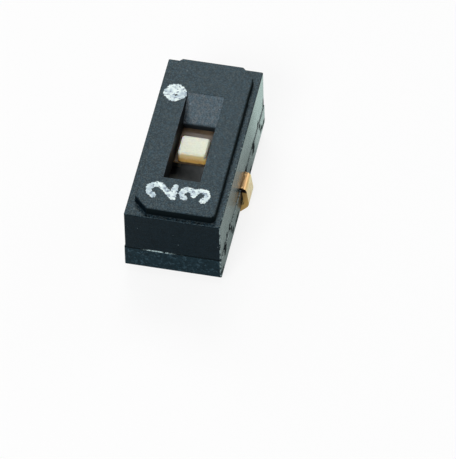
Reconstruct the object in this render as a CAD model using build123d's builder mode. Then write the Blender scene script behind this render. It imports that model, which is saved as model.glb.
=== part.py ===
from build123d import *
import os
from math import cos, radians, sin, tan

# A changeover slide switch in the size of a one-position dual-in-line body, for surface mounting.
# Millimetres. +X is across the body, +Y runs from the front end to the rear end, +Z is up.
# The origin is under the middle of the body, in the plane that the three terminal feet stand on.
# The slider is drawn at the rear end of its travel.

os.makedirs("parts", exist_ok=True)

# Body: a flat base closed by a box-shaped cover, whose top carries a raised bezel
BODY_L = 9.90
BODY_W = 4.56
STANDOFF = 0.55  # from the feet up to the underside of the base
BASE_H = 1.18
COVER_H = 2.30  # from the seam up to the ledge round the bezel
BASE_PROUD = 0.03  # the base stands out past the cover all round
SIDE_WALL = 0.50
CORNER_R = 0.06
LEDGE_R = 0.05
SEAM_BREAK = 0.02

# Bezel: each corner has its own form
BEZEL_H = 0.40
LEDGE_LEFT = 0.34
LEDGE_RIGHT = 0.30
LEDGE_END = 0.20
BEZEL_DRAFT = 3  # degrees
BEZEL_EDGE_R = 0.05
FRONT_LEFT_CUT = 0.68
FRONT_RIGHT_R = 0.25
REAR_LEFT_CUT = 0.40
REAR_RIGHT_CUT = 0.60

# Slot in the bezel, with a ramp down to a lip at its rear end
SLOT_W = 1.75
SLOT_L = 5.40
RAMP_RUN = 1.11
RAMP_DEPTH = 1.05
LIP_H = 0.22
SLOT_BREAK = 0.015

# Slider: a knob on a plate that runs under the roof of the cover, on two skirts
KNOB_W = 1.40
KNOB_L = 1.18
KNOB_H = 0.67
KNOB_FRONT = -0.55  # the front face of the knob, with the slider at the rear
KNOB_DRAFT = 1  # degrees
KNOB_CORNER_R = 0.16
KNOB_EDGE_R = 0.12
PLATE_T = 0.45
PLATE_NOSE = 0.08  # what the undercut leaves of the plate at its front edge
PLATE_UNDERCUT = 0.40
PLATE_CORNER_R = 0.20
SKIRT_T = 0.27
SKIRT_SETBACK = 0.80
REAR_LAP = 0.16  # the plate still reaches past the lip at the front end of the travel
SLIDE_CLEAR = 0.05  # above the plate and below the skirts
SIDE_CLEAR = 0.06
END_CLEAR = 0.15

# Moving contact: one sheet with two forked arms, riveted under the plate
SHEET_T = 0.12
ARM_X = 1.105
ARM_W = 0.51
FORK_GAP = 0.09
FORK_L = 0.62
ARM_REACH = 1.41  # from the front rivet forward to where the arms touch
CONTACT_R = 0.26
CONTACT_GAP = 0.02
ARM_FALL = 46  # degrees
ARM_RISE = 38  # degrees
ARM_BEND_R = 0.20
TIP_L = 0.24
RIVET_R = 0.20
RIVET_H = 0.34
RIVET_PITCH = 0.80
RIVET_INSET = 0.44  # from the rear rivet to the rear end of the slider
RIVET_CLEAR = 0.02
SHEET_MARGIN = 0.30  # from the rear rivet to the rear edge of the sheet

# Terminals: a rail flush with the floor, and a lead that bends down and in under the body
LEAD_T = 0.24
LEAD_W = 1.05
SHOULDER_GAP = 0.01  # from the wall out to the inner corner of the shoulder
KNEE_GAP = 0.15
KNEE_DROP = 1.18
TOE_IN = 0.10
TOE_L = 0.55
SHOULDER_R = 0.26
KNEE_R = 0.45
TOE_R = 0.34
RAIL_MARGIN = 0.065
THROW_Y = 2.54
COMMON_Y = 0.12
BREAK_GAP = 0.50  # between the two throw rails
RAIL_LAP = 0.30  # a rail goes on this far past the last place that an arm reaches
LOCK_R = 0.16
LOCK_INSET = 0.50
LOCK_CLEAR = 0.01
WINDOW_SIDE = 0.13
WINDOW_H = 0.16
WINDOW_DEPTH = 0.22

# Stakes: four pegs of the cover go through the base and are melted over in counterbores
PEG_R = 0.28
PEG_CLEAR = 0.03
PEG_INSET_X = 0.83
PEG_INSET_Y = 0.56
HEAD_R = 0.42
HEAD_H = 0.20
HEAD_EDGE_R = 0.09
SINK_R = 0.50
SINK_DEPTH = 0.32

# Core pockets in the underside of the base
CORE_W = 2.10
CORE_L = 2.50
CORE_DEPTH = 0.40
CORE_R = 0.25
CORE_Y = 2.05

# Levels
base_z = STANDOFF
seam_z = base_z + BASE_H
ledge_z = seam_z + COVER_H
top_z = ledge_z + BEZEL_H
roof_z = top_z - RAMP_DEPTH - LIP_H
plate_z = roof_z - SLIDE_CLEAR
sheet_z = plate_z - PLATE_T

# Places along the travel
slot_front = -SLOT_L / 2
slot_rear = SLOT_L / 2
lip_y = slot_rear - RAMP_RUN
travel = KNOB_FRONT - slot_front - END_CLEAR
slider_rear = lip_y + travel + REAR_LAP
cavity_front = slot_front - END_CLEAR
cavity_rear = slider_rear + END_CLEAR
rivet_rear = slider_rear - RIVET_INSET
rivet_front = rivet_rear - RIVET_PITCH
contact_y = rivet_front - ARM_REACH
break_y = contact_y - travel / 2

# Places across the body
wall_x = BODY_W / 2
cavity_x = wall_x - SIDE_WALL
plate_x = cavity_x - SIDE_CLEAR
rail_w = ARM_W + 2 * RAIL_MARGIN
lock_x = wall_x - LOCK_INSET

# Each terminal: the side that its lead leaves on, the lead's place, and the ends of its rail
rear_contact = contact_y + RAIL_LAP
front_contact = contact_y - travel - RAIL_LAP
TERMINALS = {
    "common_terminal": (1, COMMON_Y, front_contact, rear_contact),
    "front_terminal": (-1, -THROW_Y, -THROW_Y - LEAD_W / 2, break_y - BREAK_GAP / 2),
    "rear_terminal": (-1, THROW_Y, break_y + BREAK_GAP / 2, THROW_Y + LEAD_W / 2),
}
PEG_PLACES = [
    (x, y)
    for x in (-wall_x + PEG_INSET_X, wall_x - PEG_INSET_X)
    for y in (-BODY_L / 2 + PEG_INSET_Y, BODY_L / 2 - PEG_INSET_Y)
]


def rail_outline(side, rail_front, rail_rear):
    """Draws a rail, seen from above, in the sketch that is open."""
    with Locations((side * ARM_X, (rail_front + rail_rear) / 2)):
        Rectangle(rail_w, rail_rear - rail_front)


def window_outline(side, lead_y):
    """Draws the window that a lead leaves the body through, seen from above, in the open sketch."""
    with Locations((side * wall_x, lead_y)):
        Rectangle(2 * WINDOW_DEPTH, LEAD_W + 2 * WINDOW_SIDE)


# Base: grooves in its top hold the terminals, and a pin stands in each terminal's lock hole
with BuildPart() as base:
    with BuildSketch(Plane.XY.offset(base_z)):
        Rectangle(BODY_W + 2 * BASE_PROUD, BODY_L + 2 * BASE_PROUD)
    extrude(amount=BASE_H)
    fillet(base.edges().filter_by(Axis.Z), CORNER_R)
    chamfer(base.faces().sort_by(Axis.Z)[-1].edges(), SEAM_BREAK)
    with BuildSketch(Plane.XY.offset(seam_z)):
        for side, lead_y, rail_front, rail_rear in TERMINALS.values():
            rail_outline(side, rail_front, rail_rear)
            with Locations((side * (ARM_X - rail_w / 2 + wall_x) / 2, lead_y)):
                Rectangle(wall_x - ARM_X + rail_w / 2, LEAD_W)
    extrude(amount=-LEAD_T, mode=Mode.SUBTRACT)
    with BuildSketch(Plane.XY.offset(seam_z)):
        for side, lead_y, rail_front, rail_rear in TERMINALS.values():
            window_outline(side, lead_y)
    extrude(amount=-LEAD_T - WINDOW_H, mode=Mode.SUBTRACT)
    with BuildSketch(Plane.XY.offset(seam_z)):
        for side, lead_y, rail_front, rail_rear in TERMINALS.values():
            with Locations((side * lock_x, lead_y)):
                Circle(LOCK_R - LOCK_CLEAR)
    extrude(amount=-LEAD_T)
    with BuildSketch(Plane.XY.offset(base_z)):
        with Locations((0, -CORE_Y), (0, CORE_Y)):
            RectangleRounded(CORE_W, CORE_L, CORE_R)
    extrude(amount=CORE_DEPTH, mode=Mode.SUBTRACT)
    with Locations(Plane(origin=(0, 0, base_z), z_dir=(0, 0, -1), x_dir=(1, 0, 0))):
        with Locations(*[(x, -y) for x, y in PEG_PLACES]):
            CounterBoreHole(PEG_R + PEG_CLEAR, SINK_R, SINK_DEPTH)

# Cover: a box open below, with a thick roof over the slider and the bezel raised on its top
with BuildPart() as cover:
    with BuildSketch(Plane.XY.offset(seam_z)):
        Rectangle(BODY_W, BODY_L)
    extrude(amount=COVER_H)
    fillet(cover.edges().filter_by(Axis.Z), CORNER_R)
    fillet(cover.faces().sort_by(Axis.Z)[-1].edges(), LEDGE_R)
    chamfer(cover.faces().sort_by(Axis.Z)[0].edges(), SEAM_BREAK)
    with BuildSketch(Plane(((LEDGE_LEFT - LEDGE_RIGHT) / 2, 0, ledge_z))) as bezel:
        Rectangle(BODY_W - LEDGE_LEFT - LEDGE_RIGHT, BODY_L - 2 * LEDGE_END)
        chamfer(bezel.vertices().group_by(Axis.Y)[0].sort_by(Axis.X)[0], FRONT_LEFT_CUT)
        fillet(bezel.vertices().group_by(Axis.Y)[0].sort_by(Axis.X)[-1], FRONT_RIGHT_R)
        chamfer(bezel.vertices().group_by(Axis.Y)[-1].sort_by(Axis.X)[0], REAR_LEFT_CUT)
        chamfer(bezel.vertices().group_by(Axis.Y)[-1].sort_by(Axis.X)[-1], REAR_RIGHT_CUT)
    extrude(amount=BEZEL_H, taper=BEZEL_DRAFT)
    fillet(cover.faces().sort_by(Axis.Z)[-1].edges(), BEZEL_EDGE_R)
    with BuildSketch(Plane.YZ):
        with BuildLine():
            Polyline(
                (slot_front, top_z),
                (slot_rear, top_z),
                (lip_y, top_z - RAMP_DEPTH),
                (lip_y, roof_z),
                (slot_front, roof_z),
                close=True,
            )
        make_face()
    extrude(amount=SLOT_W / 2, both=True, mode=Mode.SUBTRACT)
    rim = cover.faces().filter_by(Plane.XY).sort_by(Axis.Z)[-1].inner_wires()[0]
    chamfer(rim.edges(), SLOT_BREAK)
    with BuildSketch(Plane.XY.offset(seam_z)):
        with Locations((0, (cavity_front + cavity_rear) / 2)):
            RectangleRounded(2 * cavity_x, cavity_rear - cavity_front, PLATE_CORNER_R - SIDE_CLEAR)
    extrude(amount=roof_z - seam_z, mode=Mode.SUBTRACT)
    with BuildSketch(Plane.XY.offset(seam_z)):
        for side, lead_y, rail_front, rail_rear in TERMINALS.values():
            window_outline(side, lead_y)
    extrude(amount=WINDOW_H, mode=Mode.SUBTRACT)
    with BuildSketch(Plane.XY.offset(seam_z)):
        with Locations(*PEG_PLACES):
            Circle(PEG_R)
    extrude(amount=SINK_DEPTH - BASE_H)
    with BuildSketch(Plane.XY.offset(base_z + SINK_DEPTH)):
        with Locations(*PEG_PLACES):
            Circle(HEAD_R)
    extrude(amount=-HEAD_H)
    fillet(cover.edges().filter_by(GeomType.CIRCLE).group_by(Axis.Z)[0], HEAD_EDGE_R)

# Slider: the side view gives the plate its undercut nose, and the knob stands flush with the nose
with BuildPart() as knob:
    with BuildSketch(Plane.XY.offset(plate_z)):
        with Locations((0, KNOB_FRONT + KNOB_L / 2)):
            Rectangle(KNOB_W, KNOB_L)
    extrude(amount=KNOB_H, taper=KNOB_DRAFT)
    fillet(knob.edges().filter_by(Plane.XY, reverse=True), KNOB_CORNER_R)
    fillet(knob.faces().sort_by(Axis.Z)[-1].edges(), KNOB_EDGE_R)
with BuildPart() as slider:
    with BuildSketch(Plane.YZ):
        with BuildLine():
            Polyline(
                (KNOB_FRONT, plate_z),
                (slider_rear, plate_z),
                (slider_rear, sheet_z),
                (KNOB_FRONT + PLATE_UNDERCUT, sheet_z),
                (KNOB_FRONT, plate_z - PLATE_NOSE),
                close=True,
            )
        make_face()
    extrude(amount=plate_x, both=True)
    fillet(slider.edges().filter_by(Axis.Z).group_by(Axis.Y)[-1], PLATE_CORNER_R)
    with BuildSketch(Plane.XY.offset(sheet_z)):
        skirt_front = KNOB_FRONT + SKIRT_SETBACK
        skirt_rear = slider_rear - PLATE_CORNER_R
        for side in (-1, 1):
            with Locations((side * (plate_x - SKIRT_T / 2), (skirt_front + skirt_rear) / 2)):
                Rectangle(SKIRT_T, skirt_rear - skirt_front)
    extrude(amount=seam_z + SLIDE_CLEAR - sheet_z)
    add(knob)
    with BuildSketch(Plane.XY.offset(sheet_z)):
        with Locations((0, rivet_front), (0, rivet_rear)):
            Circle(RIVET_R)
    extrude(amount=-RIVET_H)
    fillet(slider.edges().filter_by(GeomType.CIRCLE).group_by(Axis.Z)[0], RIVET_R / 3)

# Moving contact: the side view of the bent sheet, from its lower face, then the plan is cut out of it
fall, rise = radians(ARM_FALL), radians(ARM_RISE)
contact_z = seam_z + CONTACT_GAP
reach = CONTACT_R * tan((fall + rise) / 2)
dip = (
    contact_y + CONTACT_R * sin(fall) - reach * cos(fall),
    contact_z + CONTACT_R * (1 - cos(fall)) - reach * sin(fall),
)
bend = (dip[0] + (sheet_z - SHEET_T - dip[1]) / tan(fall), sheet_z - SHEET_T)
tip = (dip[0] - (reach + TIP_L) * cos(rise), dip[1] + (reach + TIP_L) * sin(rise))
with BuildPart() as moving_contact:
    with BuildSketch(Plane.YZ):
        with BuildLine():
            FilletPolyline((rivet_rear + SHEET_MARGIN, bend[1]), bend, dip, tip, radius=[ARM_BEND_R, CONTACT_R])
            offset(amount=SHEET_T, side=Side.RIGHT)
        make_face()
    extrude(amount=ARM_X + ARM_W / 2, both=True)
    with BuildSketch(Plane.XY.offset(contact_z)):
        root_y = bend[0] + ARM_BEND_R
        with Locations((0, (root_y + tip[0] - SHEET_T) / 2)):
            Rectangle(2 * ARM_X - ARM_W, root_y - tip[0] + SHEET_T)
        for side in (-1, 1):
            with Locations((side * ARM_X, tip[0] - SHEET_T + FORK_L / 2)):
                Rectangle(FORK_GAP, FORK_L)
    extrude(amount=sheet_z - contact_z, mode=Mode.SUBTRACT)
    with Locations((0, rivet_front, sheet_z), (0, rivet_rear, sheet_z)):
        Hole(RIVET_R + RIVET_CLEAR)

# Terminals: the lead's outer face, from the rail outwards, down past the knee and in to the toe
knee_z = seam_z - KNEE_DROP
lead_corners = [
    (ARM_X - rail_w / 2, seam_z),
    (wall_x + SHOULDER_GAP + LEAD_T, seam_z),
    (wall_x + KNEE_GAP + LEAD_T, knee_z),
    (wall_x - TOE_IN, 0),
    (wall_x - TOE_IN - TOE_L, 0),
]
terminals = {}
for name, (side, lead_y, rail_front, rail_rear) in TERMINALS.items():
    with BuildPart() as terminal:
        with BuildSketch(Plane(origin=(0, lead_y, 0), x_dir=(side, 0, 0), z_dir=(0, -side, 0))):
            with BuildLine():
                FilletPolyline(*lead_corners, radius=[SHOULDER_R, KNEE_R, TOE_R])
                offset(amount=LEAD_T, side=Side.RIGHT)
            make_face()
        extrude(amount=LEAD_W / 2, both=True)
        with BuildSketch(Plane.XY.offset(seam_z)):
            rail_outline(side, rail_front, rail_rear)
        extrude(amount=-LEAD_T)
        with Locations((side * lock_x, lead_y, seam_z)):
            Hole(LOCK_R, depth=LEAD_T)
    terminals[name] = terminal

pieces = {
    "base": base,
    "cover": cover,
    "slider": slider,
    "moving_contact": moving_contact,
    **terminals,
}
for name, piece in pieces.items():
    piece.part.label = name
    export_step(piece.part, f"parts/{name}.step")
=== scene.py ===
import math
import bmesh
import bpy
from mathutils import Matrix, Vector, noise


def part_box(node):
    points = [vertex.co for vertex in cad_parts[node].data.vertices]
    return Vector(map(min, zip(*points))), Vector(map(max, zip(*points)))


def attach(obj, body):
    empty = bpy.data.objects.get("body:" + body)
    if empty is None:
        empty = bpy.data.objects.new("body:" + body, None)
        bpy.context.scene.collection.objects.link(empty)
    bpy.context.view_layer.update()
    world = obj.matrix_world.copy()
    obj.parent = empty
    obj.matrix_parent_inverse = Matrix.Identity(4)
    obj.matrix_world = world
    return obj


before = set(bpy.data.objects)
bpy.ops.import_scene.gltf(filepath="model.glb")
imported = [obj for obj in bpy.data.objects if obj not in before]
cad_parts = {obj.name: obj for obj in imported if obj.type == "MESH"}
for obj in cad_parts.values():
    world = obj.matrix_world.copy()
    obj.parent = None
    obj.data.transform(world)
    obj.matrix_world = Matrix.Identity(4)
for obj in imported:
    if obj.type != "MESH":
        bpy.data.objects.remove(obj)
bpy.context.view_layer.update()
MM = 0.001

# Levels and places in millimetres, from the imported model
_, cover_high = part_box("cover")
_, slider_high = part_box("slider")
BEZEL_TOP = cover_high.z  # this one in metres
BODY_HALF = cover_high.y / MM
WALL_X = cover_high.x / MM
TOP_LEVEL = cover_high.z / MM
SEAM_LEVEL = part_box("base")[1].z / MM
KNOB_TOP = slider_high.z / MM
LEDGE_LEVEL = TOP_LEVEL - 0.40
LIP_LEVEL = TOP_LEVEL - 1.05
SLOT_HALF = 0.90
SLOT_HALF_LENGTH = 2.75

# What lies beyond these places counts as the named part of the body
ON_WALL = WALL_X - 0.02
ON_FRONT = 0.02 - BODY_HALF
CHIP_X = WALL_X - 0.03
CORNER_X = WALL_X - 0.045
BROW_X = WALL_X - 0.06
STEP_LEVEL = SEAM_LEVEL - 0.035
FILM_LEVEL = SEAM_LEVEL - 0.03
RAIL_LEVEL = SEAM_LEVEL - 0.05

# Camera: it looks down on the front right of the switch
AZIMUTH = math.radians(12.97)
ELEVATION = math.radians(49.22)
ROLL = math.radians(-1.43)
DISTANCE = 300 * MM
PIXELS_PER_METRE = 21218
IMAGE_HEIGHT = 459
SENSOR = 36.0
CLIP_START = 10 * MM
CLIP_END = 5.0
AIM = Vector((0, 0, 0.55 * MM))  # the middle of the base's underside
AIM_RIGHT = -1.527 * MM  # where the aim stands in the picture, from its middle
AIM_UP = 1.794 * MM


def way_towards(azimuth, elevation):
    """The direction from the switch to a place.

    Azimuth 0 is in front of the switch, and a right angle is on its right.
    """
    return Vector(
        (
            math.sin(azimuth) * math.cos(elevation),
            -math.cos(azimuth) * math.cos(elevation),
            math.sin(elevation),
        )
    )


def add_object(name, data):
    thing = bpy.data.objects.new(name, data)
    bpy.context.scene.collection.objects.link(thing)
    return thing


def make_camera():
    back = way_towards(AZIMUTH, ELEVATION)
    level = Vector((math.cos(AZIMUTH), math.sin(AZIMUTH), 0))
    upright = back.cross(level)
    right = math.cos(ROLL) * level + math.sin(ROLL) * upright
    up = math.cos(ROLL) * upright - math.sin(ROLL) * level
    data = bpy.data.cameras.new("camera")
    data.sensor_width = SENSOR
    data.lens = SENSOR * PIXELS_PER_METRE * DISTANCE / IMAGE_HEIGHT
    data.clip_start = CLIP_START
    data.clip_end = CLIP_END
    camera = add_object("camera", data)
    place = AIM + DISTANCE * back - AIM_RIGHT * right - AIM_UP * up
    turn = Matrix((right, up, back)).transposed()
    camera.matrix_world = Matrix.Translation(place) @ turn.to_4x4()
    bpy.context.scene.camera = camera


make_camera()


# Node helpers
def empty_material(name):
    material = bpy.data.materials.new(name)
    material.use_nodes = True
    tree = material.node_tree
    tree.nodes.clear()
    return material, tree, tree.nodes.new("ShaderNodeOutputMaterial")


def new_material(name):
    material, tree, out = empty_material(name)
    shader = tree.nodes.new("ShaderNodeBsdfPrincipled")
    tree.links.new(shader.outputs["BSDF"], out.inputs["Surface"])
    return material, tree, shader


def new_group(name, inputs, outputs):
    """A node group with named sockets: (name, kind, default) each, or (name, kind) for outputs."""
    group = bpy.data.node_groups.new(name, "ShaderNodeTree")
    for label, kind, default in inputs:
        socket = group.interface.new_socket(label, in_out="INPUT", socket_type=kind)
        socket.default_value = default
    for label, kind in outputs:
        group.interface.new_socket(label, in_out="OUTPUT", socket_type=kind)
    source = group.nodes.new("NodeGroupInput")
    sink = group.nodes.new("NodeGroupOutput")
    return group, source.outputs, sink.inputs


def use_group(tree, group, **values):
    node = tree.nodes.new("ShaderNodeGroup")
    node.node_tree = group
    for label, value in values.items():
        node.inputs[label.replace("_", " ")].default_value = value
    return node


def feed(tree, socket, value):
    """Gives a socket a number, a colour or a link."""
    if isinstance(value, (int, float, tuple)):
        socket.default_value = value
    else:
        tree.links.new(value, socket)


def object_millimetres(tree):
    """Object coordinates, in millimetres."""
    place = tree.nodes.new("ShaderNodeTexCoord")
    scale = tree.nodes.new("ShaderNodeMapping")
    scale.inputs["Scale"].default_value = (1 / MM, 1 / MM, 1 / MM)
    tree.links.new(place.outputs["Object"], scale.inputs["Vector"])
    return scale.outputs["Vector"]


def noise_node(tree, vector, scale, detail, roughness):
    node = tree.nodes.new("ShaderNodeTexNoise")
    tree.links.new(vector, node.inputs["Vector"])
    node.inputs["Detail"].default_value = detail
    node.inputs["Roughness"].default_value = roughness
    feed(tree, node.inputs["Scale"], scale)
    return node.outputs["Fac"]


def math_node(tree, operation, a, b=0.0, c=0.0):
    node = tree.nodes.new("ShaderNodeMath")
    node.operation = operation
    for socket, value in zip(node.inputs, (a, b, c)):
        feed(tree, socket, value)
    return node.outputs["Value"]


def absolute(tree, value):
    return math_node(tree, "ABSOLUTE", value)


def inverse(tree, mask):
    return math_node(tree, "SUBTRACT", 1.0, mask)


def weighted_sum(tree, a, a_share, b, b_share):
    return math_node(tree, "MULTIPLY_ADD", a, a_share, math_node(tree, "MULTIPLY", b, b_share))


def both(tree, *masks):
    """The product of the masks."""
    whole = masks[0]
    for mask in masks[1:]:
        whole = math_node(tree, "MULTIPLY", whole, mask)
    return whole


def map_range(tree, value, low, high, to_low=0.0, to_high=1.0, smooth=True):
    node = tree.nodes.new("ShaderNodeMapRange")
    node.interpolation_type = "SMOOTHSTEP" if smooth else "LINEAR"
    tree.links.new(value, node.inputs["Value"])
    for label, number in (
        ("From Min", low),
        ("From Max", high),
        ("To Min", to_low),
        ("To Max", to_high),
    ):
        feed(tree, node.inputs[label], number)
    return node.outputs["Result"]


def above(tree, value, level, soft=0.02):
    return map_range(tree, value, level - soft / 2, level + soft / 2)


def below(tree, value, level, soft=0.02):
    return map_range(tree, value, level + soft / 2, level - soft / 2)


def patches(tree, vector, scale, detail, roughness, low, high):
    """Cloudy patches: 0 where the noise is under low, 1 where it is over high."""
    return map_range(tree, noise_node(tree, vector, scale, detail, roughness), low, high)


def mix_colour(tree, factor, a, b):
    node = tree.nodes.new("ShaderNodeMix")
    node.data_type = "RGBA"
    for socket, value in ((node.inputs[0], factor), (node.inputs[6], a), (node.inputs[7], b)):
        feed(tree, socket, value)
    return node.outputs[2]


def mix_shaders(tree, share, first, second, out):
    """Shows the second shader where the share is 1, and the first where it is 0."""
    mix = tree.nodes.new("ShaderNodeMixShader")
    tree.links.new(share, mix.inputs["Fac"])
    tree.links.new(first, mix.inputs[1])
    tree.links.new(second, mix.inputs[2])
    tree.links.new(mix.outputs["Shader"], out.inputs["Surface"])


def separate(tree, vector):
    node = tree.nodes.new("ShaderNodeSeparateXYZ")
    tree.links.new(vector, node.inputs["Vector"])
    return node.outputs["X"], node.outputs["Y"], node.outputs["Z"]


def facing(tree):
    """How far the surface faces right, to the rear and up, each from -1 to 1."""
    node = tree.nodes.new("ShaderNodeNewGeometry")
    return separate(tree, node.outputs["True Normal"])


def lay_over(tree, shader, mask, colour, roughness):
    """Lays another finish over the one that the material has, where the mask is 1."""
    base_colour = shader.inputs["Base Color"]
    under = base_colour.links[0].from_socket
    tree.links.new(mix_colour(tree, mask, under, colour), base_colour)
    rough = shader.inputs["Roughness"]
    under = rough.links[0].from_socket
    tree.links.new(map_range(tree, mask, 0.0, 1.0, under, roughness, smooth=False), rough)


def bump(tree, height, distance):
    node = tree.nodes.new("ShaderNodeBump")
    node.inputs["Strength"].default_value = 1.0
    node.inputs["Distance"].default_value = distance
    tree.links.new(height, node.inputs["Height"])
    return node.outputs["Normal"]


# Shared effects
EDGE_FLAT = 0.995  # the bevel turns the normal by less than this cosine on a flat
EDGE_SHARP = 0.90
BEVEL_SAMPLES = 4
COARSE_GRAIN = 0.36  # its scale, as a share of the fine grain's
SPECK_SIZES = (0.06, 0.20)


def build_edge_group():
    """How much a sharp outer edge is rubbed: 1 on the edge, 0 on a flat."""
    group, given, made = new_group(
        "edge_rub",
        [("Radius", "NodeSocketFloat", 0.06 * MM), ("Breakup", "NodeSocketFloat", 0.5)],
        [("Mask", "NodeSocketFloat")],
    )
    vector = object_millimetres(group)
    bevel = group.nodes.new("ShaderNodeBevel")
    bevel.samples = BEVEL_SAMPLES
    group.links.new(given["Radius"], bevel.inputs["Radius"])
    shape = group.nodes.new("ShaderNodeNewGeometry")
    dot = group.nodes.new("ShaderNodeVectorMath")
    dot.operation = "DOT_PRODUCT"
    group.links.new(bevel.outputs["Normal"], dot.inputs[0])
    group.links.new(shape.outputs["Normal"], dot.inputs[1])
    edge = map_range(group, dot.outputs["Value"], EDGE_FLAT, EDGE_SHARP)
    worn = patches(group, vector, scale=3.5, detail=4.0, roughness=0.6, low=0.35, high=0.65)
    kept = both(group, inverse(group, worn), given["Breakup"])
    group.links.new(both(group, edge, inverse(group, kept)), made["Mask"])
    return group


def build_grain_group():
    """The spark-eroded grain of a moulding: its height, and a tone and a blotch from 0 to 1."""
    group, given, made = new_group(
        "moulded_grain",
        [("Scale", "NodeSocketFloat", 14.0), ("Blotch Scale", "NodeSocketFloat", 1.6)],
        [("Height", "NodeSocketFloat"), ("Tone", "NodeSocketFloat"), ("Blotch", "NodeSocketFloat")],
    )
    vector = object_millimetres(group)
    fine = noise_node(group, vector, given["Scale"], detail=4.0, roughness=0.62)
    coarse_scale = math_node(group, "MULTIPLY", given["Scale"], COARSE_GRAIN)
    coarse = noise_node(group, vector, coarse_scale, detail=2.0, roughness=0.5)
    group.links.new(weighted_sum(group, coarse, 0.6, fine, 0.7), made["Height"])
    group.links.new(map_range(group, fine, 0.3, 0.7), made["Tone"])
    blotch = patches(
        group, vector, given["Blotch Scale"], detail=3.0, roughness=0.55, low=0.32, high=0.68
    )
    group.links.new(blotch, made["Blotch"])
    return group


def build_dust_group():
    """Sparse specks of dust and lint: 1 in a speck."""
    group, given, made = new_group(
        "dust_specks",
        [("Scale", "NodeSocketFloat", 2.2), ("Amount", "NodeSocketFloat", 0.3)],
        [("Mask", "NodeSocketFloat")],
    )
    vector = object_millimetres(group)
    cells = group.nodes.new("ShaderNodeTexVoronoi")
    cells.feature = "F1"
    group.links.new(vector, cells.inputs["Vector"])
    group.links.new(given["Scale"], cells.inputs["Scale"])
    cells.inputs["Randomness"].default_value = 1.0
    spread = group.nodes.new("ShaderNodeSeparateColor")
    group.links.new(cells.outputs["Color"], spread.inputs["Color"])
    chosen = math_node(group, "LESS_THAN", spread.outputs["Red"], given["Amount"])
    size = map_range(group, spread.outputs["Green"], 0.0, 1.0, *SPECK_SIZES, smooth=False)
    speck = math_node(group, "LESS_THAN", cells.outputs["Distance"], size)
    group.links.new(both(group, chosen, speck), made["Mask"])
    return group


# Chips and dirt on the right side: the middle along the body, the middle height, and half of
# each extent
CHIPS = (
    (4.78, 2.05, 0.14, 0.28),
    (3.50, 1.95, 0.14, 0.20),
    (3.76, 1.50, 0.16, 0.20),
    (4.05, 1.02, 0.18, 0.20),
    (4.60, 0.80, 0.42, 0.14),
    (2.35, 1.52, 0.26, 0.36),
    (1.65, 0.74, 0.25, 0.14),
    (0.74, 1.80, 0.13, 0.15),
    (-1.50, 0.80, 0.42, 0.14),
    (-2.38, 0.98, 0.18, 0.20),
    (-2.68, 1.42, 0.15, 0.22),
    (-2.95, 1.85, 0.14, 0.22),
    (-3.55, 1.95, 0.14, 0.16),
    (-4.05, 1.55, 0.24, 0.36),
    (-4.72, 0.82, 0.26, 0.15),
)
CHIP_RAGGEDNESS = 6.0
CHIP_OUTSIDE = 1.35
CHIP_INSIDE = 0.75


def build_chip_group():
    """Ragged dark chips and streaks at set places on the right side, near the seam."""
    group, given, made = new_group(
        "side_chips",
        [("Amount", "NodeSocketFloat", 1.0)],
        [("Mask", "NodeSocketFloat")],
    )
    vector = object_millimetres(group)
    x, y, z = separate(group, vector)
    cloud = noise_node(group, vector, scale=6.5, detail=5.0, roughness=0.75)
    ragged = math_node(group, "MULTIPLY_ADD", cloud, CHIP_RAGGEDNESS, -CHIP_RAGGEDNESS / 2)
    nearest = None
    for middle, level, half_length, half_height in CHIPS:
        along = math_node(group, "MULTIPLY_ADD", y, 1 / half_length, -middle / half_length)
        up = math_node(group, "MULTIPLY_ADD", z, 1 / half_height, -level / half_height)
        reach = math_node(group, "ADD", both(group, along, along), both(group, up, up))
        nearest = reach if nearest is None else math_node(group, "MINIMUM", nearest, reach)
    edge = math_node(group, "ADD", nearest, ragged)
    chip = both(group, map_range(group, edge, CHIP_OUTSIDE, CHIP_INSIDE), above(group, x, CHIP_X))
    group.links.new(both(group, chip, given["Amount"]), made["Mask"])
    return group


edge_rub = build_edge_group()
moulded_grain = build_grain_group()
dust_specks = build_dust_group()
side_chips = build_chip_group()

# Colours of the two black mouldings
RUBBED_BLACK = (0.036, 0.054, 0.062, 1)
DUST_SPECK = (0.11, 0.14, 0.155, 1)
SIDE_SPECKLE = (0.016, 0.026, 0.030, 1)
CORNER_HIGHLIGHT = (0.30, 0.38, 0.38, 1)
CHIP_BLACK = (0.004, 0.006, 0.007, 1)
COVER_DEEP = (0.0006, 0.0030, 0.0056, 1)
COVER_PALE = (0.0032, 0.0090, 0.0145, 1)
BLOOM_BROWN = (0.048, 0.060, 0.062, 1)
BLOOM_BLUE = (0.032, 0.058, 0.076, 1)
RAMP_BLACK = (0.024, 0.031, 0.042, 1)
SCUFF_AND_SHEEN_BROWN = (0.122, 0.116, 0.118, 1)
SCUFF_AND_SHEEN_BLUE = (0.082, 0.112, 0.142, 1)
RAMP_RIM_HIGHLIGHT = (0.130, 0.165, 0.195, 1)
RAMP_LINT = (0.24, 0.29, 0.36, 1)
LIP_SHADE = (0.0030, 0.0060, 0.0080, 1)
BEZEL_WALL_SHADE = (0.0012, 0.0030, 0.0040, 1)
SLOT_WALL = (0.0120, 0.0155, 0.0180, 1)
BROW_HIGHLIGHT = (0.20, 0.27, 0.27, 1)
BASE_DEEP = (0.0010, 0.0060, 0.0100, 1)
BASE_PALE = (0.0070, 0.0230, 0.0340, 1)
BASE_FLECK = (0.030, 0.060, 0.080, 1)
STEP_SHADE = (0.0040, 0.0070, 0.0085, 1)
STEP_LIT_RIGHT = (0.46, 0.55, 0.54, 1)
STEP_LIT_FRONT = (0.46, 0.60, 0.62, 1)
FLOOR_DUST_AND_LIGHT = (0.26, 0.27, 0.27, 1)

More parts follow.
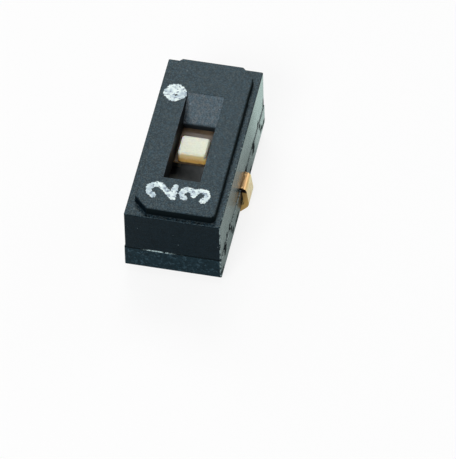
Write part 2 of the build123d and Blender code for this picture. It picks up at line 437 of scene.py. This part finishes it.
# Their gloss and grain
BLACK_SPECULAR = 0.105
BLACK_TINT = (0.60, 0.88, 1.0, 1)
BLACK_GRAIN_DEPTH = 0.0120 * MM
POLISH_FROM, POLISH_TO, POLISH_MOST = 1.4, 4.0, 0.6  # along the right side, rising to the rear
POLISH_ROUGHNESS = 0.12
RIM_WIDTH = 0.075


# Materials
def black_moulding(name, deep, pale, rear_roughness, front_roughness, grain_scale, dust):
    """A black moulded thermoplastic with its grain, rubbed edges and a little dust."""
    material, tree, shader = new_material(name)
    _, y, _ = separate(tree, object_millimetres(tree))
    grain = use_group(tree, moulded_grain, Scale=grain_scale, Blotch_Scale=1.6)
    rub = use_group(tree, edge_rub, Radius=0.04 * MM, Breakup=0.8)
    specks = use_group(tree, dust_specks, Scale=4.2, Amount=dust)
    tone = weighted_sum(tree, grain.outputs["Tone"], 0.75, grain.outputs["Blotch"], 0.25)
    colour = mix_colour(tree, tone, deep, pale)
    colour = mix_colour(tree, rub.outputs["Mask"], colour, RUBBED_BLACK)
    colour = mix_colour(tree, specks.outputs["Mask"], colour, DUST_SPECK)
    tree.links.new(colour, shader.inputs["Base Color"])
    along = map_range(
        tree, y, BODY_HALF, -BODY_HALF, rear_roughness, front_roughness, smooth=False
    )
    least = math_node(tree, "SUBTRACT", along, 0.03)
    rough = math_node(tree, "MULTIPLY_ADD", grain.outputs["Blotch"], 0.06, least)
    tree.links.new(rough, shader.inputs["Roughness"])
    shader.inputs["Specular IOR Level"].default_value = BLACK_SPECULAR
    shader.inputs["Specular Tint"].default_value = BLACK_TINT
    tree.links.new(
        bump(tree, grain.outputs["Height"], BLACK_GRAIN_DEPTH), shader.inputs["Normal"]
    )
    return material, tree, shader


def finish_side(tree, shader):
    """The right side: a fine speckle, gloss that grows to the rear, a painted highlight on the
    front corner and chips.
    """
    vector = object_millimetres(tree)
    x, y, _ = separate(tree, vector)
    wall = above(tree, x, ON_WALL)
    speckle = patches(tree, vector, scale=11.0, detail=3.0, roughness=0.65, low=0.44, high=0.66)
    lay_over(tree, shader, both(tree, wall, speckle), SIDE_SPECKLE, 0.28)
    chips = use_group(tree, side_chips, Amount=1.0).outputs["Mask"]
    rise = map_range(tree, y, POLISH_FROM, POLISH_TO, 0.0, POLISH_MOST)
    polish = both(tree, wall, inverse(tree, chips), rise)
    tree.links.new(polish, shader.inputs["Coat Weight"])
    shader.inputs["Coat Roughness"].default_value = POLISH_ROUGHNESS
    # A painted highlight on the front corner, broken into specks
    highlight_specks = patches(tree, vector, scale=7.0, detail=3.0, roughness=0.7, low=0.47, high=0.56)
    end = below(tree, y, 0.07 - BODY_HALF, soft=0.08)
    lay_over(tree, shader, both(tree, above(tree, x, CORNER_X), end, highlight_specks), CORNER_HIGHLIGHT, 0.6)
    lay_over(tree, shader, chips, CHIP_BLACK, 0.9)


def cover_finish():
    material, tree, shader = black_moulding(
        "cover_black",
        COVER_DEEP,
        COVER_PALE,
        rear_roughness=0.10,
        front_roughness=0.20,
        grain_scale=9.0,
        dust=0.13,
    )
    vector = object_millimetres(tree)
    x, y, z = separate(tree, vector)
    rightward, _, skyward = facing(tree)
    upward = absolute(tree, skyward)
    upright = below(tree, upward, 0.45, soft=0.2)
    from_middle = absolute(tree, x)
    in_slot = both(
        tree,
        below(tree, from_middle, SLOT_HALF),
        below(tree, absolute(tree, y), SLOT_HALF_LENGTH),
    )
    # The tops are mottled by a fine bloom, brownish here and bluish there
    bloom = patches(tree, vector, scale=15.0, detail=2.0, roughness=0.6, low=0.38, high=0.66)
    cast = patches(tree, vector, scale=6.5, detail=1.0, roughness=0.5, low=0.36, high=0.64)
    tinted = mix_colour(tree, cast, BLOOM_BROWN, BLOOM_BLUE)
    lay_over(tree, shader, both(tree, above(tree, upward, 0.6, soft=0.2), bloom), tinted, 0.28)
    # The ramp is painted lighter, standing in for the front light's sheen on it, and mottled with
    # scuffs; not where it rounds down to the lip
    scuffs_and_sheen = mix_colour(tree, bloom, RAMP_BLACK, mix_colour(tree, cast, SCUFF_AND_SHEEN_BROWN, SCUFF_AND_SHEEN_BLUE))
    ramp = both(
        tree,
        in_slot,
        above(tree, upward, 0.6, soft=0.1),
        below(tree, upward, 0.85, soft=0.1),
    )
    lay_over(tree, shader, ramp, scuffs_and_sheen, 0.24)
    # A painted highlight along the ramp's side edges
    rim = both(tree, ramp, above(tree, from_middle, SLOT_HALF - RIM_WIDTH), bloom)
    lay_over(tree, shader, rim, RAMP_RIM_HIGHLIGHT, 0.4)
    lint = use_group(tree, dust_specks, Scale=5.5, Amount=0.28)
    lay_over(tree, shader, both(tree, ramp, lint.outputs["Mask"]), RAMP_LINT, 0.6)
    # Painted shade: the lip, and the slot below it, are kept dark
    lip = both(tree, in_slot, below(tree, z, LIP_LEVEL + 0.04, soft=0.12))
    lay_over(tree, shader, lip, LIP_SHADE, 0.6)
    # Painted shade on the bezel's walls, but not the left one, and then the walls of the slot
    raised = above(tree, z, LEDGE_LEVEL + 0.02)
    bezel_wall = both(tree, upright, raised, above(tree, rightward, -0.5, soft=0.2))
    lay_over(tree, shader, bezel_wall, BEZEL_WALL_SHADE, 0.75)
    lay_over(tree, shader, both(tree, upright, in_slot), SLOT_WALL, 0.5)
    # A painted highlight along the right edge of the ledge, towards the front, broken into specks
    brow = both(
        tree,
        above(tree, x, BROW_X),
        above(tree, z, LEDGE_LEVEL - 0.06),
        below(tree, z, LEDGE_LEVEL + 0.02),
        below(tree, y, 0.8, soft=1.5),
        patches(tree, vector, scale=8.0, detail=3.0, roughness=0.7, low=0.50, high=0.60),
    )
    lay_over(tree, shader, brow, BROW_HIGHLIGHT, 0.6)
    finish_side(tree, shader)
    return material


def base_finish():
    material, tree, shader = black_moulding(
        "base_black",
        BASE_DEEP,
        BASE_PALE,
        rear_roughness=0.20,
        front_roughness=0.26,
        grain_scale=8.0,
        dust=0.16,
    )
    vector = object_millimetres(tree)
    x, y, z = separate(tree, vector)
    flecks = patches(tree, vector, scale=4.4, detail=5.0, roughness=0.75, low=0.52, high=0.64)
    lay_over(tree, shader, flecks, BASE_FLECK, 0.4)
    # The narrow step where the base stands proud of the cover
    step = above(tree, z, STEP_LEVEL)
    on_wall = above(tree, x, ON_WALL)
    on_front = below(tree, y, ON_FRONT)
    away = math_node(tree, "MAXIMUM", on_wall, on_front)
    lay_over(tree, shader, both(tree, step, away), STEP_SHADE, 0.8)
    right = both(tree, step, on_wall, above(tree, y, 0.1 - BODY_HALF))
    lay_over(tree, shader, right, STEP_LIT_RIGHT, 0.6)
    # A broken catch of light on the step, left of the front's middle
    catch = both(
        tree,
        step,
        on_front,
        above(tree, x, -1.40, soft=0.3),
        below(tree, x, 0.1, soft=0.9),
        patches(tree, vector, scale=3.2, detail=4.0, roughness=0.75, low=0.42, high=0.60),
    )
    lay_over(tree, shader, catch, STEP_LIT_FRONT, 0.5)
    finish_side(tree, shader)
    # The floor inside the body, where the slot lets dust in; the dust is painted pale, as painted
    # light in the shaded pit
    cloud = noise_node(tree, vector, scale=1.8, detail=3.0, roughness=0.6)
    dust_and_light_film = both(
        tree,
        below(tree, absolute(tree, x), 1.65, soft=0.1),
        below(tree, absolute(tree, y), 4.4, soft=0.1),
        above(tree, z, FILM_LEVEL),
        map_range(tree, cloud, 0.2, 0.8, 0.5, 1.0),
    )
    lay_over(tree, shader, dust_and_light_film, FLOOR_DUST_AND_LIGHT, 0.8)
    return material


# The slider's colours, the first of a pair where the grain or the blotch is low
CREAM = ((0.76, 0.79, 0.67, 1), (0.68, 0.71, 0.59, 1))
# Honey and amber are painted shade, warmer and darker deeper in the slot
SHADE_HONEY = ((0.98, 0.79, 0.41, 1), (0.90, 0.70, 0.33, 1))
SHADE_AMBER = ((0.80, 0.49, 0.14, 1), (0.68, 0.40, 0.10, 1))
# Dark brown painted shade on the knob's foot and the plate
SHADE_BROWN = ((0.050, 0.032, 0.018, 1), (0.150, 0.105, 0.060, 1))
LIT_FILLET = (0.99, 0.98, 0.86, 1)
SHADED_FILLET = (0.40, 0.41, 0.34, 1)
PLATE_END_SHADE = (0.034, 0.025, 0.018, 1)

# How far under the knob's top each colour of painted shade starts to take over, and where it has
SHADE_HONEY_BAND = (-0.02, 0.20)
SHADE_AMBER_BAND = (0.22, 0.50)
SHADE_BROWN_BAND = (0.55, 0.62)
FILLET_DEPTH = 0.2
PLATE_DEPTH = 0.6
CREAM_GRAIN_DEPTH = 0.003 * MM
CREAM_SCATTER = (0.45 * MM, 0.30 * MM, 0.12 * MM)


def cream_moulding():
    """The slider's ivory plastic, with painted shade that turns it honey, amber and then dark brown
    down in the slot.
    """
    material, tree, shader = new_material("cream_moulding")
    x, _, z = separate(tree, object_millimetres(tree))
    grain = use_group(tree, moulded_grain, Scale=9.0, Blotch_Scale=1.2)
    tone, blotch = grain.outputs["Tone"], grain.outputs["Blotch"]
    wander = math_node(tree, "MULTIPLY_ADD", blotch, 0.08, -0.04)
    height = math_node(tree, "ADD", z, wander)
    rightward, _, _ = facing(tree)
    colour = mix_colour(tree, tone, *CREAM)
    # Painted shade: the knob turns honey, then amber, further down
    for pair, band in ((SHADE_HONEY, SHADE_HONEY_BAND), (SHADE_AMBER, SHADE_AMBER_BAND)):
        deeper = map_range(tree, height, KNOB_TOP - band[0], KNOB_TOP - band[1])
        colour = mix_colour(tree, deeper, colour, mix_colour(tree, tone, *pair))
    # The knob's left fillet is lit and its right one is in the shade
    brow = above(tree, z, KNOB_TOP - FILLET_DEPTH, soft=0.1)
    lit = both(tree, below(tree, rightward, -0.15, soft=0.2), brow)
    colour = mix_colour(tree, lit, colour, LIT_FILLET)
    shaded = both(tree, above(tree, rightward, 0.22, soft=0.3), brow)
    colour = mix_colour(tree, shaded, colour, SHADED_FILLET)
    # Painted shade: dark brown at the foot of the knob and on the plate
    deeper = map_range(tree, height, KNOB_TOP - SHADE_BROWN_BAND[0], KNOB_TOP - SHADE_BROWN_BAND[1])
    colour = mix_colour(tree, deeper, colour, mix_colour(tree, blotch, *SHADE_BROWN))
    # The plate is painted darkest at its right end, as painted shade
    far_right = both(tree, above(tree, x, 0.55, soft=0.3), below(tree, z, KNOB_TOP - PLATE_DEPTH))
    colour = mix_colour(tree, far_right, colour, PLATE_END_SHADE)
    tree.links.new(colour, shader.inputs["Base Color"])
    tree.links.new(map_range(tree, blotch, 0.0, 1.0, 0.36, 0.48), shader.inputs["Roughness"])
    tree.links.new(
        bump(tree, grain.outputs["Height"], CREAM_GRAIN_DEPTH), shader.inputs["Normal"]
    )
    shader.inputs["Subsurface Weight"].default_value = 0.55
    shader.inputs["Subsurface Radius"].default_value = CREAM_SCATTER
    shader.inputs["Subsurface Scale"].default_value = 1.0
    return material


GOLD = ((0.97, 0.71, 0.39, 1), (0.88, 0.58, 0.28, 1))
GOLD_RUBBED = (0.97, 0.84, 0.62, 1)
GOLD_TOP_SHADE = (0.90, 0.58, 0.28, 1)
GOLD_SHEARED = (0.62, 0.34, 0.12, 1)
GOLD_SHOULDER_SHADE = (0.020, 0.012, 0.010, 1)
RAIL_DUST_AND_LIGHT = (0.32, 0.33, 0.30, 1)
GOLD_BUMP = 0.0010 * MM
DRAWN_STRETCH = (1.0, 14.0, 1.0)


def gold_plate():
    """Thin gold over a stamped and bent strip, with drawn lines and dull spots."""
    material, tree, shader = new_material("gold_plate")
    vector = object_millimetres(tree)
    stretch = tree.nodes.new("ShaderNodeMapping")
    stretch.inputs["Scale"].default_value = DRAWN_STRETCH
    tree.links.new(vector, stretch.inputs["Vector"])
    drawn = noise_node(tree, stretch.outputs["Vector"], scale=2.0, detail=3.0, roughness=0.6)
    grain = use_group(tree, moulded_grain, Scale=5.0, Blotch_Scale=2.2)
    rub = use_group(tree, edge_rub, Radius=0.03 * MM, Breakup=0.6)
    colour = mix_colour(tree, grain.outputs["Blotch"], *GOLD)
    colour = mix_colour(tree, rub.outputs["Mask"], colour, GOLD_RUBBED)
    tree.links.new(colour, shader.inputs["Base Color"])
    rough = map_range(tree, grain.outputs["Blotch"], 0.0, 1.0, 0.20, 0.34)
    tree.links.new(rough, shader.inputs["Roughness"])
    height = weighted_sum(tree, grain.outputs["Height"], 0.5, drawn, 0.6)
    tree.links.new(bump(tree, height, GOLD_BUMP), shader.inputs["Normal"])
    x, _, z = separate(tree, vector)
    _, rearward, skyward = facing(tree)
    # Faces that point up are painted a darker orange, as painted shade on the tops
    upward = above(tree, absolute(tree, skyward), 0.45, soft=0.4)
    lay_over(tree, shader, upward, GOLD_TOP_SHADE, 0.42)
    # The sheared sides of the strip are browner, and painted nearly black with shade where they
    # leave the body
    sheared = above(tree, absolute(tree, rearward), 0.7, soft=0.1)
    lay_over(tree, shader, sheared, GOLD_SHEARED, 0.42)
    shoulder = both(
        tree,
        sheared,
        above(tree, z, SEAM_LEVEL - 0.30, soft=0.10),
        below(tree, z, SEAM_LEVEL - 0.02),
    )
    lay_over(tree, shader, shoulder, GOLD_SHOULDER_SHADE, 0.8)
    # Inside the body the rails are dull under dust, and don't shine as metal; the dust is painted
    # pale, as painted light in the shaded pit
    cloud = noise_node(tree, vector, scale=2.2, detail=3.0, roughness=0.6)
    dusty_and_lit = both(
        tree,
        below(tree, absolute(tree, x), 1.68, soft=0.06),
        above(tree, z, RAIL_LEVEL),
        above(tree, cloud, 0.36, soft=0.2),
    )
    lay_over(tree, shader, dusty_and_lit, RAIL_DUST_AND_LIGHT, 0.8)
    tree.links.new(inverse(tree, dusty_and_lit), shader.inputs["Metallic"])
    return material


INK = ((0.44, 0.55, 0.62, 1), (0.84, 0.95, 0.93, 1))
INK_THIN = (0.18, 0.25, 0.32, 1)
INK_BUMP = 0.008 * MM


def printed_ink():
    """Opaque white ink, thinner and crumbled in places, where the black shows through."""
    material, tree, shader = new_material("printed_ink")
    vector = object_millimetres(tree)
    grain = use_group(tree, moulded_grain, Scale=7.0, Blotch_Scale=4.0)
    thick = patches(tree, vector, scale=7.0, detail=3.0, roughness=0.6, low=0.38, high=0.47)
    colour = mix_colour(tree, thick, INK_THIN, mix_colour(tree, grain.outputs["Blotch"], *INK))
    tree.links.new(colour, shader.inputs["Base Color"])
    rough = map_range(tree, grain.outputs["Tone"], 0.0, 1.0, 0.40, 0.60)
    tree.links.new(rough, shader.inputs["Roughness"])
    tree.links.new(bump(tree, grain.outputs["Height"], INK_BUMP), shader.inputs["Normal"])
    return material


def dress(node, material):
    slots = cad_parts[node].data.materials
    slots.clear()
    slots.append(material)


dress("cover", cover_finish())
dress("base", base_finish())
dress("slider", cream_moulding())
gold = gold_plate()
ink = printed_ink()
for node in ("moving_contact", "common_terminal", "front_terminal", "rear_terminal"):
    dress(node, gold)

# Printed marks: strokes drawn in millimetres, joined into one bead of ink, then laid on the bezel
INK_STROKE = 0.148  # half the width of a stroke
INK_VOXEL = 0.022
INK_HEIGHT = 0.012
INK_GAP = 0.0005
INK_SWELL = 0.35  # how much its thickness varies
STROKE_CROWN = 0.75  # the height of a stroke's section, as a share of its half width
WAVER, WAVER_SCALE, WAVER_SLICE = 0.035, 6.0, 0.3
FRAY, FRAY_SCALE, FRAY_SLICE = 0.065, 15.0, 0.7
INK_SEED = 7
ARC_STEPS = 14
DIGIT_HEIGHT = 1.50
DIGIT_WIDTH = 1.00
DIGIT_ROW = -3.54
DIGIT_OFFSET = 0.787
DOT_RADIUS = 0.58
DOT_PLACE = (-1.44, 2.55)
DOT_DAB = 0.10
DOT_ROW_PITCH = 0.866  # rows of dabs in a triangular pattern
DOT_HOLE = 0.035
DOT_HOLE_PLACE = (0.07, -0.14)


def arc(centre_x, centre_y, radius, start, end):
    angles = [math.radians(start + (end - start) * i / ARC_STEPS) for i in range(ARC_STEPS + 1)]
    return [(centre_x + radius * math.cos(a), centre_y + radius * math.sin(a)) for a in angles]


def digit_two():
    radius = DIGIT_WIDTH / 2 - INK_STROKE
    bowl = arc(DIGIT_WIDTH / 2, DIGIT_HEIGHT - INK_STROKE - radius, radius, 165, -38)
    return bowl + [(INK_STROKE, INK_STROKE), (DIGIT_WIDTH - INK_STROKE, INK_STROKE)]


def digit_three():
    middle = DIGIT_HEIGHT * 0.52
    upper = (DIGIT_HEIGHT - INK_STROKE - middle) / 2
    lower = (middle - INK_STROKE) / 2
    top_bowl = arc(DIGIT_WIDTH / 2, middle + upper, upper, 155, -90)
    low_bowl = arc(DIGIT_WIDTH / 2, middle - lower, lower, 90, -155)
    return top_bowl + low_bowl


def ink_bead(stroke):
    """A bead of ink along the stroke, as a bmesh in millimetres, with its middle at z = 0."""
    bead = bmesh.new()
    dense = []
    for (ax, ay), (bx, by) in zip(stroke, stroke[1:]):
        count = max(1, round(math.hypot(bx - ax, by - ay) / (INK_STROKE / 3)))
        dense += [(ax + (bx - ax) * i / count, ay + (by - ay) * i / count) for i in range(count)]
    for x, y in dense + [stroke[-1]]:
        bmesh.ops.create_uvsphere(
            bead,
            u_segments=20,
            v_segments=10,
            radius=INK_STROKE,
            matrix=Matrix.Translation((x, y, 0)) @ Matrix.Diagonal((1, 1, STROKE_CROWN, 1)),
        )
    return bead


def settle_ink(name, bead, place, turn):
    """Joins a bead into one skin, frays its edge and lays it on the bezel.

    The lower half of the skin is pressed flat, so that no opening has to be filled.
    """
    mesh = bpy.data.meshes.new(name)
    bead.to_mesh(mesh)
    bead.free()
    piece = add_object(name, mesh)
    join = piece.modifiers.new("join", "REMESH")
    join.mode = "VOXEL"
    join.voxel_size = INK_VOXEL
    graph = bpy.context.evaluated_depsgraph_get()
    skin = bpy.data.meshes.new_from_object(piece.evaluated_get(graph))
    piece.modifiers.clear()
    piece.data = skin
    bm = bmesh.new()
    bm.from_mesh(skin)
    bmesh.ops.smooth_vert(
        bm, verts=bm.verts, factor=0.5, use_axis_x=True, use_axis_y=True, use_axis_z=True
    )
    highest = max(v.co.z for v in bm.verts)
    here = Vector((place.x, place.y, 0))
    there = Vector((place.y, place.x, 0))
    for v in bm.verts:
        shift = noise.noise_vector(Vector((v.co.x, v.co.y, WAVER_SLICE)) * WAVER_SCALE + here)
        fine = noise.noise_vector(Vector((v.co.x, v.co.y, FRAY_SLICE)) * FRAY_SCALE + there)
        v.co.x += WAVER * shift.x + FRAY * fine.x
        v.co.y += WAVER * shift.y + FRAY * fine.y
        v.co.z = max(v.co.z, 0) * INK_HEIGHT / highest * (1 + INK_SWELL * shift.z)
    bmesh.ops.recalc_face_normals(bm, faces=bm.faces)
    lay = (
        Matrix.Translation((place.x * MM, place.y * MM, BEZEL_TOP + INK_GAP * MM))
        @ Matrix.Rotation(turn, 4, "Z")
        @ Matrix.Scale(MM, 4)
    )
    bmesh.ops.transform(bm, matrix=lay, verts=bm.verts)
    bm.to_mesh(skin)
    bm.free()
    for face in skin.polygons:
        face.use_smooth = True
    skin.materials.clear()
    skin.materials.append(ink)
    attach(piece, "housing")


def lay_digit(name, stroke, centre_x, centre_y):
    """A digit lying on its side, with its top towards the left of the switch."""
    bead = ink_bead(stroke)
    bmesh.ops.translate(bead, vec=(-DIGIT_WIDTH / 2, -DIGIT_HEIGHT / 2, 0), verts=bead.verts)
    settle_ink(name, bead, Vector((centre_x, centre_y, 0)), math.radians(90))


def lay_dot(name):
    """A round dot, dabbed on, with a pinhole off its middle."""
    bead = bmesh.new()
    hole_x, hole_y = DOT_HOLE_PLACE
    steps = math.ceil(DOT_RADIUS / DOT_DAB)
    for i in range(-steps, steps + 1):
        for j in range(-steps, steps + 1):
            x, y = DOT_DAB * (i + 0.5 * (j % 2)), DOT_DAB * j * DOT_ROW_PITCH
            outside = math.hypot(x, y) > DOT_RADIUS - DOT_DAB
            if outside or math.hypot(x - hole_x, y - hole_y) < DOT_DAB + DOT_HOLE:
                continue
            bmesh.ops.create_uvsphere(
                bead,
                u_segments=16,
                v_segments=8,
                radius=DOT_DAB,
                matrix=Matrix.Translation((x, y, 0)),
            )
    settle_ink(name, bead, Vector((*DOT_PLACE, 0)), 0.0)


noise.seed_set(INK_SEED)  # unseeded, the noise vectors follow the clock
lay_dot("printed_dot")
lay_digit("printed_two", digit_two(), -DIGIT_OFFSET, DIGIT_ROW)
lay_digit("printed_three", digit_three(), DIGIT_OFFSET, DIGIT_ROW)

# Floor, backdrop and light
WHITE = (1, 1, 1, 1)
PAPER = (0.86, 0.86, 0.86, 1)
GLOW_IN_GLOSS = (0.78, 1.0, 0.94, 1)
SEEN_SHARE = 0.85
THROUGH_SHARE = 0.80
FLOOR_SIZE = 0.6
ROOM_COLOUR = (0.97, 0.99, 1.0, 1)
ROOM_LEVEL = 0.12
LAMP_DISTANCE = 0.25

# Name, azimuth and elevation in degrees, size in metres and power in watts
LAMPS = (
    ("key_rear", 194, 49, 0.10, 0.185),
    ("low_left", 222, 26, 0.12, 0.12),
    ("low_right", 138, 24, 0.12, 0.10),
    ("fill_front", -11.5, 43, 0.09, 0.36),
    ("overhead", 20, 82, 0.10, 0.11),
)


def share_in_gloss(tree):
    """How bright the paper is where a gloss shows it.

    It is painted brightest behind the switch, with a lift in front of it, and darker beside its
    right side: painted light and shade in the reflections.
    """
    place = tree.nodes.new("ShaderNodeTexCoord")
    x, y, _ = separate(tree, place.outputs["Object"])
    behind = map_range(tree, y, 1.5 * MM, 4.9 * MM, 0.44, 1.0, smooth=False)
    ahead = both(
        tree,
        map_range(tree, y, 1.0 * MM, -1.0 * MM, 0.0, 0.22, smooth=False),
        map_range(tree, y, -4.9 * MM, -4.2 * MM, smooth=False),
    )
    beside = map_range(tree, x, 2.3 * MM, 2.9 * MM, 0.72, 1.0, smooth=False)
    return both(tree, math_node(tree, "ADD", behind, ahead), beside)


def pale_paper():
    """Plain white paper.

    What sees it directly sees it evenly lit, with the shadow left in; a gloss sees a tinted glow
    painted brighter in some places, as painted reflection.
    """
    material, tree, out = empty_material("pale_paper")
    paper = tree.nodes.new("ShaderNodeBsdfDiffuse")
    paper.inputs["Color"].default_value = PAPER
    glow = tree.nodes.new("ShaderNodeEmission")
    ray = tree.nodes.new("ShaderNodeLightPath").outputs
    glow_colour = mix_colour(tree, ray["Is Camera Ray"], GLOW_IN_GLOSS, WHITE)
    tree.links.new(glow_colour, glow.inputs["Color"])
    seen = math_node(tree, "MULTIPLY", ray["Is Camera Ray"], SEEN_SHARE)
    glossy = both(tree, ray["Is Glossy Ray"], share_in_gloss(tree))
    through = math_node(tree, "MULTIPLY", ray["Is Transmission Ray"], THROUGH_SHARE)
    share = math_node(tree, "MAXIMUM", seen, math_node(tree, "MAXIMUM", glossy, through))
    mix_shaders(tree, share, paper.outputs["BSDF"], glow.outputs["Emission"], out)
    return material


def make_floor():
    bm = bmesh.new()
    bmesh.ops.create_grid(bm, x_segments=1, y_segments=1, size=FLOOR_SIZE)
    mesh = bpy.data.meshes.new("floor")
    bm.to_mesh(mesh)
    bm.free()
    mesh.materials.append(pale_paper())
    floor = add_object("floor", mesh)


def make_world():
    """A dim room for the light, and a white backdrop for the camera."""
    world = bpy.data.worlds.new("studio")
    bpy.context.scene.world = world
    world.use_nodes = True
    tree = world.node_tree
    tree.nodes.clear()
    out = tree.nodes.new("ShaderNodeOutputWorld")
    room, backdrop = (tree.nodes.new("ShaderNodeBackground") for _ in range(2))
    room.inputs["Color"].default_value = ROOM_COLOUR
    room.inputs["Strength"].default_value = ROOM_LEVEL
    backdrop.inputs["Color"].default_value = WHITE
    backdrop.inputs["Strength"].default_value = 1.0
    ray = tree.nodes.new("ShaderNodeLightPath").outputs
    mix_shaders(
        tree,
        ray["Is Camera Ray"],
        room.outputs["Background"],
        backdrop.outputs["Background"],
        out,
    )


def soft_light(name, azimuth, elevation, size, power):
    """A square soft box that looks at the switch."""
    way = way_towards(math.radians(azimuth), math.radians(elevation))
    data = bpy.data.lights.new(name, "AREA")
    data.shape = "SQUARE"
    data.size = size
    data.energy = power
    lamp = add_object(name, data)
    lamp.location = AIM + way * LAMP_DISTANCE
    lamp.rotation_mode = "QUATERNION"
    lamp.rotation_quaternion = way.to_track_quat("Z", "Y")


make_floor()
make_world()
for lamp in LAMPS:
    soft_light(*lamp)
bpy.context.scene.view_settings.view_transform = "Standard"
